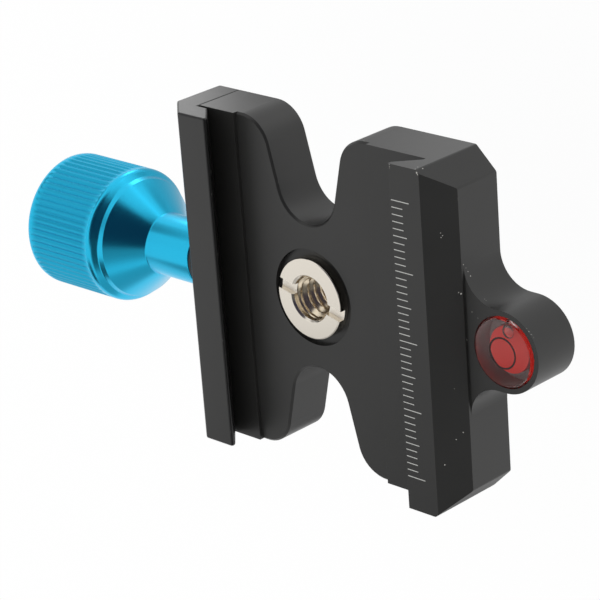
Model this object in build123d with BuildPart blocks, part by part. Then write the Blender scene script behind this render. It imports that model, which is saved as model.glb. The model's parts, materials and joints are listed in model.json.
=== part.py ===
"""Dovetail quick release clamp: a screw-knob clamp for dovetail camera plates.

The origin is on the centre bushing's axis at the underside. X runs across the channel towards the
fixed jaw, Y along the channel and Z up out of its floor. Lengths are in millimetres.
"""

import os
from math import cos, radians, sin, tan

from build123d import *

# Channel: a lower centre floor between two raised strips, under two undercut lips
jaw_length = 50.0
floor_height = 7.7
strip_rise = 0.5
centre_floor_width = 25.0
jaw_height = 12.3
lip_land = 0.65
undercut_angle = 45.0
root_wall = 0.45

# Fixed jaw, cut from the same bar as the base
fixed_lip_x = 20.15
fixed_jaw_width = 8.15
fixed_bevel_width = 2.85
fixed_bevel_drop = 4.2
corner_cut_width = 3.3
corner_cut_length = 3.2
corner_round = 0.6

# Moving jaw
moving_lip_x = -14.15
lip_overhang = 4.95
moving_jaw_thickness = 4.25
moving_bevel_width = 3.95
moving_bevel_drop = 3.75
jaw_lift = 0.3
seam_gap = 0.05
jaw_travel = 5.5

# Notches in the two ends
waist_half_width = 10.8
notch_radius = 5.3
notch_flare = 13.7
mouth_radius = 5.0
notch_edge = 0.3

# Lug that holds the round level
lug_reach = 6.3
lug_wall = 0.75
lug_fillet = 5.0

# Thread bushing: slotted flange, 3/8 inch shank, 1/4 inch thread
flange_diameter = 11.9
flange_thickness = 1.6
recess_diameter = 14.3
recess_depth = 0.8
shank_diameter = 9.4
shank_clearance = 0.05
thread_bore_diameter = 6.4
thread_mouth_chamfer = 0.2
driver_slot_width = 1.6
driver_slot_depth = 0.9
driver_slot_angle = -13.7

# Clamp screw and knob, on one axis along X
screw_height = 4.2
screw_diameter = 4.9
thread_clearance = 0.05
screw_end_gap = 1.0
screw_hole_web = 1.6
screw_in_knob = 14.0
jaw_hole_diameter = 5.5
washer_diameter = 9.0
washer_bore_diameter = 5.3
washer_thickness = 0.5
running_gap = 0.05
neck_diameter = 9.3
neck_length = 8.9
cone_length = 4.75
cone_end_diameter = 17.7
land_length = 0.85
land_diameter = 18.1
shoulder_length = 0.85
knob_diameter = 20.1
knurl_length = 14.0
knurl_count = 64
knurl_depth = 0.32
knurl_width = 0.7
knob_edge = 0.8
neck_chamfer = 0.3
end_dish_diameter = 14.0
end_dish_depth = 0.8

# Guide pins pressed into the moving jaw
pin_diameter = 4.0
pin_seat_depth = 3.4
pin_engagement = 5.1
pin_inset = 7.0
pin_clearance = 0.05
pin_end_gap = 0.4
pin_chamfer = 0.3

# Opening springs, in pockets of the body and of the jaw
spring_mean_diameter = 3.5
spring_wire = 0.45
spring_coils = 4
spring_pocket_diameter = 4.4
body_pocket_depth = 6.6
jaw_pocket_depth = 1.0
spring_seat_gap = 0.03

# Round level
level_diameter = 10.0
level_glue_gap = 0.1
level_seat_depth = 5.8
level_stand_out = 0.3
level_edge = 0.25
level_wall = 1.5
chamber_top_wall = 0.8
liquid_depth = 1.8
bubble_diameter = 1.8
bubble_depth = 0.7
bubble_edge = 0.3
bubble_bearing = 80.0
target_ring_share = 0.65
target_ring_width = 0.25
print_thickness = 0.03

# Millimetre marks on the fixed jaw's top face
mark_range = 20
mark_pitch = 1.0
mark_width = 0.12
mark_start = 0.2
short_mark = 1.9
middle_mark = 2.4
long_mark = 3.1

# Edges, and how near a place an edge counts as being on it
base_edge = 0.2
on_place = 0.01

# Places worked out from the sizes above
strip_height = floor_height + strip_rise
land_foot = jaw_height - lip_land
root_height = strip_height + root_wall
fixed_root_x = fixed_lip_x + (land_foot - root_height) / tan(radians(undercut_angle))
outer_x = fixed_lip_x + fixed_jaw_width
seam_x = moving_lip_x - lip_overhang
jaw_inner_x = seam_x - seam_gap
jaw_outer_x = jaw_inner_x - moving_jaw_thickness
moving_foot = strip_height + jaw_lift
moving_root_x = moving_lip_x - (land_foot - moving_foot) / tan(radians(undercut_angle))
level_bore_radius = level_diameter / 2 + level_glue_gap
lug_radius = level_bore_radius + lug_wall
lug_x = outer_x + lug_reach
flange_seat = floor_height - recess_depth
bushing_face = flange_seat + flange_thickness
bushing_bore_radius = shank_diameter / 2 + shank_clearance
screw_hole_end_x = -bushing_bore_radius - screw_hole_web
screw_end_x = screw_hole_end_x - screw_end_gap
washer_x = jaw_outer_x - running_gap
neck_start_x = washer_x - washer_thickness
neck_end_x = neck_start_x - neck_length
cone_end_x = neck_end_x - cone_length
land_start_x = cone_end_x - land_length
knurl_start_x = land_start_x - shoulder_length
knob_end_x = knurl_start_x - knurl_length
pin_spacing = jaw_length - 2 * pin_inset
spring_spacing = pin_spacing / 2
pin_start_x = jaw_inner_x - pin_seat_depth
pin_end_x = seam_x + jaw_travel + pin_engagement
level_seat = floor_height - level_seat_depth
level_top = floor_height + level_stand_out
chamber_diameter = level_diameter - 2 * level_wall
target_ring_radius = target_ring_share * chamber_diameter / 2
chamber_ceiling = level_top - chamber_top_wall
liquid_bottom = chamber_ceiling - liquid_depth
bubble_offset = chamber_diameter / 2 - bubble_diameter / 2 - print_thickness
bubble_x = bubble_offset * cos(radians(bubble_bearing))
bubble_y = bubble_offset * sin(radians(bubble_bearing))

screw_plane = Plane(origin=(0, 0, screw_height), x_dir=(1, 0, 0), z_dir=(0, -1, 0))
screw_axis = Axis((0, 0, screw_height), (1, 0, 0))
sides = {"front": -1, "back": 1}


def across(x: float) -> Plane:
    """Plane across the screw's axis at x, with Y to its right and Z up, facing +X."""
    return Plane(origin=(x, 0, screw_height), x_dir=(0, 1, 0), z_dir=(1, 0, 0))


# Body: base, fixed jaw and level lug in one piece
flare = radians(notch_flare)
notch_centre_y = waist_half_width + notch_radius
mouth_centre_y = jaw_length / 2 - mouth_radius
flank_foot = (notch_radius * cos(flare), notch_centre_y - notch_radius * sin(flare))
mouth_centre_x = flank_foot[0] + (mouth_radius + (mouth_centre_y - flank_foot[1]) * sin(flare)) / cos(flare)
flank_head = (mouth_centre_x - mouth_radius * cos(flare), mouth_centre_y + mouth_radius * sin(flare))

with BuildPart() as clamp_body:
    with BuildSketch(Plane.XZ):
        with BuildLine():
            Polyline(
                (seam_x, 0),
                (outer_x, 0),
                (outer_x, jaw_height - fixed_bevel_drop),
                (outer_x - fixed_bevel_width, jaw_height),
                (fixed_lip_x, jaw_height),
                (fixed_lip_x, land_foot),
                (fixed_root_x, root_height),
                (fixed_root_x, strip_height),
                (seam_x, strip_height),
                close=True,
            )
        make_face()
    extrude(amount=jaw_length / 2, both=True)

    with BuildSketch() as corner_cuts:
        with BuildLine():
            Polyline(
                (outer_x - corner_cut_width, jaw_length / 2),
                (outer_x, jaw_length / 2),
                (outer_x, jaw_length / 2 - corner_cut_length),
                close=True,
            )
        make_face()
        mirror(about=Plane.XZ)
    extrude(amount=jaw_height, mode=Mode.SUBTRACT)
    cut_edges = clamp_body.edges().filter_by(Axis.Z).filter_by(
        lambda edge: edge.center().X > outer_x - corner_cut_width - on_place
    )
    fillet(cut_edges, corner_round)

    with BuildSketch() as lug:
        with Locations((outer_x, 0)):
            Rectangle(lug_fillet, 2 * lug_radius + 3 * lug_fillet, align=(Align.MAX, Align.CENTER))
            Rectangle(lug_reach, 2 * lug_radius, align=(Align.MIN, Align.CENTER))
        with Locations((lug_x, 0)):
            Circle(lug_radius)
        inner_corners = lug.vertices().filter_by_position(Axis.X, outer_x - on_place, outer_x + on_place)
        fillet(inner_corners.sort_by(Axis.Y)[1:-1], lug_fillet)
    extrude(amount=floor_height)

    with BuildSketch(Plane.XY.offset(floor_height)):
        Rectangle(centre_floor_width, jaw_length)
    extrude(amount=strip_rise, mode=Mode.SUBTRACT)

    with BuildSketch() as notches:
        with BuildLine():
            CenterArc((0, notch_centre_y), notch_radius, -90, 90 - notch_flare)
            Line(flank_foot, flank_head)
            CenterArc((mouth_centre_x, mouth_centre_y), mouth_radius, 180 - notch_flare, notch_flare - 90)
            Polyline(
                (mouth_centre_x, jaw_length / 2),
                (mouth_centre_x, jaw_length / 2 + mouth_radius),
                (0, jaw_length / 2 + mouth_radius),
                (0, waist_half_width),
            )
        make_face()
        mirror(about=Plane.YZ)
        mirror(about=Plane.XZ)
    extrude(amount=jaw_height, mode=Mode.SUBTRACT)

    chamfer(clamp_body.faces().sort_by(Axis.Z)[0].outer_wire().edges(), base_edge)
    floor_edges = clamp_body.edges().filter_by_position(
        Axis.Z, floor_height - on_place, floor_height + on_place
    )
    notch_edges = floor_edges.filter_by(
        lambda edge: abs(edge.center().X) < mouth_centre_x
        and waist_half_width < abs(edge.center().Y) < jaw_length / 2 - notch_edge
    )
    chamfer(notch_edges, notch_edge)

    with BuildSketch(Plane.XY.offset(flange_seat)):
        Circle(recess_diameter / 2)
    extrude(until=Until.LAST, mode=Mode.SUBTRACT)
    with BuildSketch():
        Circle(bushing_bore_radius)
    extrude(amount=floor_height, mode=Mode.SUBTRACT)

    with BuildSketch(Plane.XY.offset(level_seat)):
        with Locations((lug_x, 0)):
            Circle(level_bore_radius)
    extrude(amount=level_seat_depth, mode=Mode.SUBTRACT)

    with BuildSketch(across(seam_x)):
        Circle(screw_diameter / 2 + thread_clearance)
    extrude(amount=screw_hole_end_x - seam_x, mode=Mode.SUBTRACT)
    with BuildSketch(across(seam_x)):
        with GridLocations(pin_spacing, 0, 2, 1):
            Circle(pin_diameter / 2 + pin_clearance)
    extrude(amount=pin_end_x + pin_end_gap - seam_x, mode=Mode.SUBTRACT)
    with BuildSketch(across(seam_x)):
        with GridLocations(spring_spacing, 0, 2, 1):
            Circle(spring_pocket_diameter / 2)
    extrude(amount=body_pocket_depth, mode=Mode.SUBTRACT)

with BuildPart() as moving_jaw:
    with BuildSketch(Plane.XZ):
        with BuildLine():
            Polyline(
                (jaw_inner_x, 0),
                (jaw_inner_x, moving_foot),
                (moving_root_x, moving_foot),
                (moving_lip_x, land_foot),
                (moving_lip_x, jaw_height),
                (jaw_outer_x + moving_bevel_width, jaw_height),
                (jaw_outer_x, jaw_height - moving_bevel_drop),
                (jaw_outer_x, 0),
                close=True,
            )
        make_face()
    extrude(amount=jaw_length / 2, both=True)
    with BuildSketch(across(jaw_inner_x)):
        Circle(jaw_hole_diameter / 2)
    extrude(amount=-moving_jaw_thickness, mode=Mode.SUBTRACT)
    with BuildSketch(across(jaw_inner_x)):
        with GridLocations(pin_spacing, 0, 2, 1):
            Circle(pin_diameter / 2)
    extrude(amount=-pin_seat_depth, mode=Mode.SUBTRACT)
    with BuildSketch(across(jaw_inner_x)):
        with GridLocations(spring_spacing, 0, 2, 1):
            Circle(spring_pocket_diameter / 2)
    extrude(amount=-jaw_pocket_depth, mode=Mode.SUBTRACT)

# Knob: neck, cone and knurled grip turned from one bar
with BuildPart() as clamp_knob:
    with BuildSketch(screw_plane) as knob_profile:
        with BuildLine():
            Polyline(
                (neck_start_x, 0),
                (neck_start_x, neck_diameter / 2),
                (neck_end_x, neck_diameter / 2),
                (cone_end_x, cone_end_diameter / 2),
                (land_start_x, land_diameter / 2),
                (knurl_start_x, knob_diameter / 2),
                (knob_end_x + knob_edge, knob_diameter / 2),
                (knob_end_x, knob_diameter / 2 - knob_edge),
                (knob_end_x, end_dish_diameter / 2),
                (knob_end_x + end_dish_depth, end_dish_diameter / 2 - end_dish_depth),
                (knob_end_x + end_dish_depth, 0),
                close=True,
            )
        make_face()
        neck_corner = knob_profile.vertices().sort_by_distance((neck_end_x, neck_diameter / 2, 0))[0]
        chamfer(neck_corner, neck_chamfer)
    revolve(axis=screw_axis)
    with BuildSketch(across(knob_end_x)):
        with PolarLocations(knob_diameter / 2, knurl_count):
            Polygon(
                (-knurl_depth, 0),
                (knurl_depth, knurl_width),
                (knurl_depth, -knurl_width),
                align=None,
            )
    extrude(amount=knurl_length, mode=Mode.SUBTRACT)
    with BuildSketch(across(neck_start_x)):
        Circle(screw_diameter / 2)
    extrude(amount=-screw_in_knob, mode=Mode.SUBTRACT)

with BuildPart() as clamp_screw:
    with BuildSketch(across(neck_start_x - screw_in_knob)):
        Circle(screw_diameter / 2)
    extrude(amount=screw_end_x - neck_start_x + screw_in_knob)
    chamfer(clamp_screw.edges().sort_by(Axis.X)[-1], pin_chamfer)

with BuildPart() as thrust_washer:
    with BuildSketch(across(neck_start_x)):
        Circle(washer_diameter / 2)
        Circle(washer_bore_diameter / 2, mode=Mode.SUBTRACT)
    extrude(amount=washer_thickness)

# Bushing: flange in the body's recess, shank down to the underside
with BuildPart() as thread_bushing:
    Cylinder(shank_diameter / 2, flange_seat, align=(Align.CENTER, Align.CENTER, Align.MIN))
    with Locations((0, 0, flange_seat)):
        Cylinder(flange_diameter / 2, flange_thickness, align=(Align.CENTER, Align.CENTER, Align.MIN))
    with Locations((0, 0, bushing_face)):
        CounterSinkHole(
            thread_bore_diameter / 2,
            thread_bore_diameter / 2 + thread_mouth_chamfer,
            counter_sink_angle=90,
        )
    with BuildSketch(Plane.XY.offset(bushing_face - driver_slot_depth)):
        Rectangle(recess_diameter, driver_slot_width, rotation=driver_slot_angle)
    extrude(amount=driver_slot_depth, mode=Mode.SUBTRACT)

# Round level, glued into the lug
level_place = Location((lug_x, 0, 0))
low_centre = (Align.CENTER, Align.CENTER, Align.MIN)

with BuildPart() as level_housing:
    with Locations(level_place * Location((0, 0, level_seat))):
        Cylinder(level_diameter / 2, level_top - level_seat, align=low_centre)
        Cylinder(chamber_diameter / 2, chamber_ceiling - level_seat, align=low_centre, mode=Mode.SUBTRACT)
    chamfer(level_housing.edges().group_by(Axis.Z)[-1], level_edge)

with BuildPart() as level_plug:
    with Locations(level_place * Location((0, 0, level_seat))):
        Cylinder(chamber_diameter / 2, liquid_bottom - level_seat, align=low_centre)

with BuildPart() as level_bubble:
    with Locations(level_place * Location((bubble_x, bubble_y, chamber_ceiling - bubble_depth))):
        Cylinder(bubble_diameter / 2, bubble_depth, align=low_centre)
    chamfer(level_bubble.edges().group_by(Axis.Z)[0], bubble_edge)

with BuildPart() as level_liquid:
    with Locations(level_place * Location((0, 0, liquid_bottom))):
        Cylinder(chamber_diameter / 2, liquid_depth, align=low_centre)
    add(level_bubble.part, mode=Mode.SUBTRACT)

with BuildPart() as level_target_ring:
    with BuildSketch(Plane.XY.offset(level_top)):
        with Locations((lug_x, 0)):
            Circle(target_ring_radius)
            Circle(target_ring_radius - target_ring_width, mode=Mode.SUBTRACT)
    extrude(amount=print_thickness)

with BuildPart() as scale_marks:
    with BuildSketch(Plane.XY.offset(jaw_height)):
        for step in range(-mark_range, mark_range + 1):
            length = long_mark if step % 10 == 0 else middle_mark if step % 5 == 0 else short_mark
            with Locations((fixed_lip_x + mark_start, step * mark_pitch)):
                Rectangle(length, mark_width, align=(Align.MIN, Align.CENTER))
    extrude(amount=print_thickness)

# Parts written one STEP each
pieces = {
    "clamp_body": clamp_body,
    "moving_jaw": moving_jaw,
    "clamp_knob": clamp_knob,
    "clamp_screw": clamp_screw,
    "thrust_washer": thrust_washer,
    "thread_bushing": thread_bushing,
    "level_housing": level_housing,
    "level_plug": level_plug,
    "level_liquid": level_liquid,
    "level_bubble": level_bubble,
    "level_target_ring": level_target_ring,
    "scale_marks": scale_marks,
}

for side, sign in sides.items():
    with BuildPart() as guide_pin:
        with BuildSketch(across(pin_start_x)):
            with Locations((sign * pin_spacing / 2, 0)):
                Circle(pin_diameter / 2)
        extrude(amount=pin_end_x - pin_start_x)
        chamfer(guide_pin.edges().sort_by(Axis.X)[-1], pin_chamfer)
    pieces[f"guide_pin_{side}"] = guide_pin

    spring_start_x = jaw_inner_x - jaw_pocket_depth + spring_wire / 2 + spring_seat_gap
    spring_end_x = seam_x + body_pocket_depth - spring_wire / 2 - spring_seat_gap
    with BuildPart() as opening_spring:
        with BuildLine() as coil:
            Helix(
                pitch=(spring_end_x - spring_start_x) / spring_coils,
                height=spring_end_x - spring_start_x,
                radius=spring_mean_diameter / 2,
                center=(spring_start_x, sign * spring_spacing / 2, screw_height),
                direction=(1, 0, 0),
            )
        with BuildSketch(Plane(origin=coil.line @ 0, z_dir=coil.line % 0)):
            Rectangle(spring_wire, spring_wire)
        sweep(is_frenet=True)
    pieces[f"opening_spring_{side}"] = opening_spring

os.makedirs("parts", exist_ok=True)
for name, piece in pieces.items():
    piece.part.label = name
    export_step(piece.part, f"parts/{name}.step")
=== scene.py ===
"""Dovetail quick release clamp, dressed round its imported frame.

A black anodised clamp body and jaw, a blue anodised screw knob, a nickel plated thread bushing and
a round level in clear acrylic, in a white tent with the opening that the camera looks through. The
classes' sizes are in millimetres and degrees.
"""

import json
import logging
from collections.abc import Iterator
from contextlib import contextmanager
from dataclasses import dataclass, field
from enum import Enum
from math import cos, hypot, pi, radians, sin, tan

import bmesh
import bpy
from bmesh.types import BMEdge, BMesh
from bpy.types import Material, Node, NodeSocket, NodeTree, Object
from mathutils import Matrix, Vector
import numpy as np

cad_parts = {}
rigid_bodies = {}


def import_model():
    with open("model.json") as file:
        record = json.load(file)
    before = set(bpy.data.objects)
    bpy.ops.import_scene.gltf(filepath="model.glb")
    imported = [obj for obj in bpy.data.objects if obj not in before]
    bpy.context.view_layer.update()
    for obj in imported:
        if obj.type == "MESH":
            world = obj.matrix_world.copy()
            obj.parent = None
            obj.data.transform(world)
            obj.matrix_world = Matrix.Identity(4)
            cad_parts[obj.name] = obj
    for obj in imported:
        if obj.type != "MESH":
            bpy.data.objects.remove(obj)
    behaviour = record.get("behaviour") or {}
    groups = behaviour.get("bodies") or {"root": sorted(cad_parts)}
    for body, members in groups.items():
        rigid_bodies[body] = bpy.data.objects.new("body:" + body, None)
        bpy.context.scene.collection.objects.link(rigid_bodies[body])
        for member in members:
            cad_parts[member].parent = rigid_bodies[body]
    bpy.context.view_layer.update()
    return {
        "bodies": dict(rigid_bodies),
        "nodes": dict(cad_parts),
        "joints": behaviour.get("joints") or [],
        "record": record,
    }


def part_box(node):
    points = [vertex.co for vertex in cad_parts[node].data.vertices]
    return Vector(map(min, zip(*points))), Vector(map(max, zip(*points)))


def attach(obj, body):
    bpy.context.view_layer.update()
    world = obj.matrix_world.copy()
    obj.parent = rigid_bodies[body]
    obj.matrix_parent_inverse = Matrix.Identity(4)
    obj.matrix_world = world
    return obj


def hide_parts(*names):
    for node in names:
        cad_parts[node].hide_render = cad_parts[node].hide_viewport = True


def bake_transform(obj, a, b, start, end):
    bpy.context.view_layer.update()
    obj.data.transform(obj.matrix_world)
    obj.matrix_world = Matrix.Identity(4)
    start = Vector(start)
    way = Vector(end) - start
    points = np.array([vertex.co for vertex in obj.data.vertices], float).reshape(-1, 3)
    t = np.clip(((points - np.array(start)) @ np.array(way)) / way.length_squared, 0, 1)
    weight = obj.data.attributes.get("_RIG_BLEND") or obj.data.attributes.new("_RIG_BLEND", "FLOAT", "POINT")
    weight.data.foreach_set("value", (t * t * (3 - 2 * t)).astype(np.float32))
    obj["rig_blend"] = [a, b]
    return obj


MM = 0.001
MERGE = 0.002 * MM  # Points nearer to each other than this are one.
SLIVER = 0.001 * MM  # Edges shorter than this go.
RELIEF = 0.01 * MM  # How far the finest patterns stand out.
THREAD_FLAT = 0.1  # How much of a thread's half turn is flat at its crest, and at its root.
COIL_POINTS = 40  # Points on each turn of a coil.
WIRE_SIDES = 12  # Straight runs round a coil's wire.
LARGE_FACES = 100  # The weight with which large faces decide the shading at their corners.
PIN_SPREAD = 9.0  # How far a guide pin or spring lies from the screw, along Y.
# The kinds of node that are used most.
COORDINATES = "ShaderNodeTexCoord"
MATH = "ShaderNodeMath"
VECTOR_MATH = "ShaderNodeVectorMath"
MAP_RANGE = "ShaderNodeMapRange"
MIX = "ShaderNodeMix"
NOISE = "ShaderNodeTexNoise"
BUMP = "ShaderNodeBump"
log = logging.getLogger("clamp")
Profile = list[tuple[float, float]]
# Chips and specks on the body, and a pale line round the level: x, y, z and radius, in millimetres.
CHIPS = (
    (25.18, 24.64, 12.3, 0.13),
    (25.3, 24.4, 12.3, 0.08),
    (24.75, 24.98, 12.05, 0.09),
    (24.5, 25.0, 11.3, 0.11),
    (25.16, 24.84, 11.08, 0.07),
    (20.43, 24.88, 12.3, 0.06),
    (20.41, 24.62, 12.3, 0.06),
    (20.39, 24.38, 12.3, 0.05),
    (26.84, 15.99, 10.21, 0.05),
    (26.98, 15.6, 10.0, 0.06),
    (26.86, 15.36, 10.18, 0.05),
    (27.75, -12.9, 8.91, 0.1),
    (27.18, -13.77, 9.75, 0.07),
    (26.18, -17.24, 11.22, 0.07),
    (27.26, -6.34, 9.63, 0.06),
    (28.3, 11.03, 7.68, 0.07),
    (28.32, 10.43, 7.25, 0.06),
    (28.4, 9.86, 6.98, 0.07),
    (28.59, 9.18, 6.74, 0.06),
    (30.91, 6.47, 6.83, 0.06),
    (31.18, 6.32, 6.85, 0.05),
    (28.15, 7.09, 8.31, 0.1),
    (27.98, 7.32, 8.58, 0.07),
    # These four draw a thin pale line along the rim round the level.
    (38.56, 4.3, 7.56, 0.05),
    (38.91, 3.95, 7.54, 0.06),
    (39.22, 3.59, 7.47, 0.06),
    (39.48, 3.21, 7.37, 0.05),
    (11.4, 24.99, 7.32, 0.08),
    (29.37, 4.56, 7.7, 0.05),
    (30.37, 3.94, 7.7, 0.05),
    (28.3, 0.32, 7.78, 0.05),
)


class Body(Enum):
    """The bodies that move on their own."""

    BASE = "base"
    JAW = "jaw"
    KNOB = "knob"


class Slot(Enum):
    """The record's material slots that the new pieces are declared with."""

    BLACK = "black_anodised"
    BLUE = "blue_anodised"
    NICKEL = "nickel"
    STEEL = "steel"
    ACRYLIC = "level_acrylic"
    PLUG = "level_base"
    PRINT = "dark_print"


class Axis(Enum):
    """The axes that a piece is turned round."""

    X = "X"
    Z = "Z"


class Side(Enum):
    """The sides of the screw on which a pin and a spring lie."""

    FRONT = "front"
    BACK = "back"


def linear(hex_colour: str) -> tuple[float, float, float, float]:
    """Turns an sRGB hex value into the linear colour that a socket takes, by the sRGB standard.

    Args:
        hex_colour: six hex digits after a hash.

    Returns:
        Red, green, blue and an alpha of 1.
    """
    channels = [int(hex_colour[place : place + 2], 16) / 255 for place in (1, 3, 5)]
    red, green, blue = (
        c / 12.92 if c <= 0.04045 else ((c + 0.055) / 1.055) ** 2.4 for c in channels
    )
    return red, green, blue, 1.0


def scale_of(size_mm: float) -> float:
    """The scale at which a texture's pattern has a size in millimetres."""
    return 1 / (size_mm * MM)


def feed(tree: NodeTree, node: Node, inputs: dict) -> None:
    """Sets a node's inputs, and links those that another node feeds.

    Args:
        tree: the node's tree.
        node: the node.
        inputs: socket name or number to a value, or to the socket that feeds it.
    """
    for key, value in inputs.items():
        if isinstance(value, NodeSocket):
            tree.links.new(value, node.inputs[key])
        else:
            node.inputs[key].default_value = value


def add(tree: NodeTree, kind: str, inputs: dict | None = None, **settings: object) -> Node:
    """Adds a node to a tree with its settings, values and links.

    Args:
        tree: the shader or geometry tree.
        kind: the node's type name.
        inputs: socket name or number to a value, or to the socket that feeds it.
        settings: the node's own properties.

    Returns:
        The new node.
    """
    node = tree.nodes.new(kind)
    for name, value in settings.items():
        setattr(node, name, value)
    feed(tree, node, inputs or {})
    return node


@dataclass(frozen=True)
class Finish:
    """A finish with one Principled shader. Each real finish adds its own detail to it."""

    name: str
    colour: str
    roughness: float
    metallic: float = 0.0

    def build(self) -> Material:
        """Makes the material, once however often it is asked for.

        Returns:
            The material with its colour, gloss and detail.
        """
        if self.name in bpy.data.materials:
            return bpy.data.materials[self.name]
        material = bpy.data.materials.new(self.name)
        material.use_nodes = True
        tree = material.node_tree
        shader = tree.nodes["Principled BSDF"]
        colour = {"Base Color": linear(self.colour)}
        feed(tree, shader, {**colour, "Roughness": self.roughness, "Metallic": self.metallic})
        feed(tree, shader, self.detail(tree))
        return material

    def detail(self, tree: NodeTree) -> dict[str, object]:
        """Makes what the eye sees beyond a flat colour, which is nothing on a plain finish.

        Args:
            tree: the material's tree.

        Returns:
            The shader's inputs that the detail sets.
        """
        return {}


@dataclass(frozen=True)
class BlackAnodised(Finish):
    """Blasted and black anodised aluminium, worn to bare metal in specks on its edges.

    The eye sees a satin near-black with broad soft reflections, faintly clouded from place to
    place, and pale chips where the skin was knocked off. Blasting leaves pits of about 0.05 mm.
    They are drawn three times as coarse, a pixel of the render, because finer ones don't show.
    The broken edges take a colour of their own: on the jaw it is near-black, painted shade.
    """

    cloud_colour: str = "#252524"
    # The broken edges' colour: painted shade on the jaw, where it is near-black; a touch paler than the skin
    # on the body.
    cut: str = "#21211f"
    bare: str = "#a9a7a2"
    cloud_mm: float = 9.0
    grain_mm: float = 0.16
    grain_bump: float = 0.25
    speck_spacing_mm: float = 5.0
    speck_mm: float = 0.07
    speckless: float = 0.72
    rub_mm: float = 1.1
    rub_start: float = 0.64
    rub_full: float = 0.76
    ragged_mm: float = 0.08
    wear: float = 0.1
    chips: tuple[tuple[float, float, float, float], ...] = ()

    def detail(self, tree: NodeTree) -> dict[str, object]:
        """Makes the blasted grain, faint clouding, stray specks, chips, edge wear and the edges' own
        colour, which on the jaw is painted shade.

        Args:
            tree: the material's tree.

        Returns:
            The shader's colour and normal.
        """
        place = add(tree, COORDINATES).outputs["Object"]
        cloud, rub, grain = (
            add(tree, NOISE, {"Vector": place, "Scale": scale_of(size), "Detail": detail})
            for size, detail in ((self.cloud_mm, 3.0), (self.rub_mm, 4.0), (self.grain_mm, 2.0))
        )
        edge = add(tree, "ShaderNodeAttribute", attribute_name="edge").outputs["Fac"]
        inputs = {"Vector": place, "Scale": scale_of(self.speck_spacing_mm)}
        cells = add(tree, "ShaderNodeTexVoronoi", inputs)
        size = self.speck_mm / self.speck_spacing_mm
        speck = add(tree, MATH, {0: cells.outputs["Distance"], 1: size}, operation="LESS_THAN")
        draw = add(tree, "ShaderNodeSeparateColor", {"Color": cells.outputs["Color"]})
        chance = {0: draw.outputs["Red"], 1: self.speckless}
        rare = add(tree, MATH, chance, operation="GREATER_THAN")
        stray = add(tree, MATH, {0: speck.outputs[0], 1: rare.outputs[0]}, operation="MULTIPLY")
        rubbed = add(
            tree,
            MAP_RANGE,
            {
                "Value": rub.outputs["Fac"],
                "From Min": self.rub_start,
                "From Max": self.rub_full,
                "To Max": self.wear,
            },
        )
        worn = add(tree, MATH, {0: edge, 1: rubbed.outputs["Result"]}, operation="MULTIPLY")
        bare = add(tree, MATH, {0: stray.outputs[0], 1: worn.outputs[0]}, operation="MAXIMUM")
        reach = self.ragged_mm * MM
        inputs = {"Value": rub.outputs["Fac"], "To Min": -reach, "To Max": reach}
        ragged = add(tree, MAP_RANGE, inputs)
        for x, y, z, radius in self.chips:
            centre = (x * MM, y * MM, z * MM)
            gap = add(tree, VECTOR_MATH, {0: place, 1: centre}, operation="DISTANCE")
            distances = {0: gap.outputs["Value"], 1: ragged.outputs["Result"]}
            rim = add(tree, MATH, distances, operation="ADD")
            chip = add(tree, MATH, {0: rim.outputs[0], 1: radius * MM}, operation="LESS_THAN")
            bare = add(tree, MATH, {0: bare.outputs[0], 1: chip.outputs[0]}, operation="MAXIMUM")
        skin = linear(self.colour)
        layers = (
            (cloud.outputs["Fac"], self.cloud_colour),
            # The broken edges' own colour, painted shade on the jaw.
            (edge, self.cut),
            (bare.outputs[0], self.bare),
        )
        for share, colour in layers:
            inputs = {"Factor": share, "A": skin, "B": linear(colour)}
            skin = add(tree, MIX, inputs, data_type="RGBA").outputs["Result"]
        inputs = {"Height": grain.outputs["Fac"], "Strength": self.grain_bump, "Distance": RELIEF}
        bump = add(tree, BUMP, inputs)
        return {"Base Color": skin, "Normal": bump.outputs["Normal"]}


@dataclass(frozen=True)
class BlueAnodised(Finish):
    """Turned and bright blue anodised aluminium, with turning lines round X.

    The eye sees a coloured mirror whose reflections the lines draw out along the knob. The rolled
    grip scatters the light, so its skin looks even and dull there, and it is painted a little
    darker there as painted shade from its grooves. The tool leaves a line about every 0.05 mm.
    They are drawn more than twice as far apart, because finer ones don't show.
    """

    line_mm: float = 0.12
    line_bump: float = 0.2
    # The grip's colour, a little darker than the skin as painted shade from its grooves.
    grip_shade_colour: str = "#28b8df"
    grip_roughness: float = 0.5

    def detail(self, tree: NodeTree) -> dict[str, object]:
        """Makes the turning lines, and the grip's duller skin with its painted shade.

        Args:
            tree: the material's tree.

        Returns:
            The shader's colour, roughness and normal.
        """
        place = add(tree, COORDINATES).outputs["Object"]
        along = add(tree, "ShaderNodeSeparateXYZ", {"Vector": place})
        inputs = {"W": along.outputs["X"], "Scale": scale_of(self.line_mm), "Detail": 2.0}
        lines = add(tree, NOISE, inputs, noise_dimensions="1D")
        inputs = {"Height": lines.outputs["Fac"], "Strength": self.line_bump, "Distance": RELIEF}
        bump = add(tree, BUMP, inputs)
        grip = add(tree, "ShaderNodeAttribute", attribute_name="grip").outputs["Fac"]
        # The grip is painted darker here, as painted shade.
        inputs = {"Factor": grip, "A": linear(self.colour), "B": linear(self.grip_shade_colour)}
        skin = add(tree, MIX, inputs, data_type="RGBA")
        inputs = {"Value": grip, "To Min": self.roughness, "To Max": self.grip_roughness}
        sheen = add(tree, MAP_RANGE, inputs)
        return {
            "Base Color": skin.outputs["Result"],
            "Roughness": sheen.outputs["Result"],
            "Normal": bump.outputs["Normal"],
        }


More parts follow.
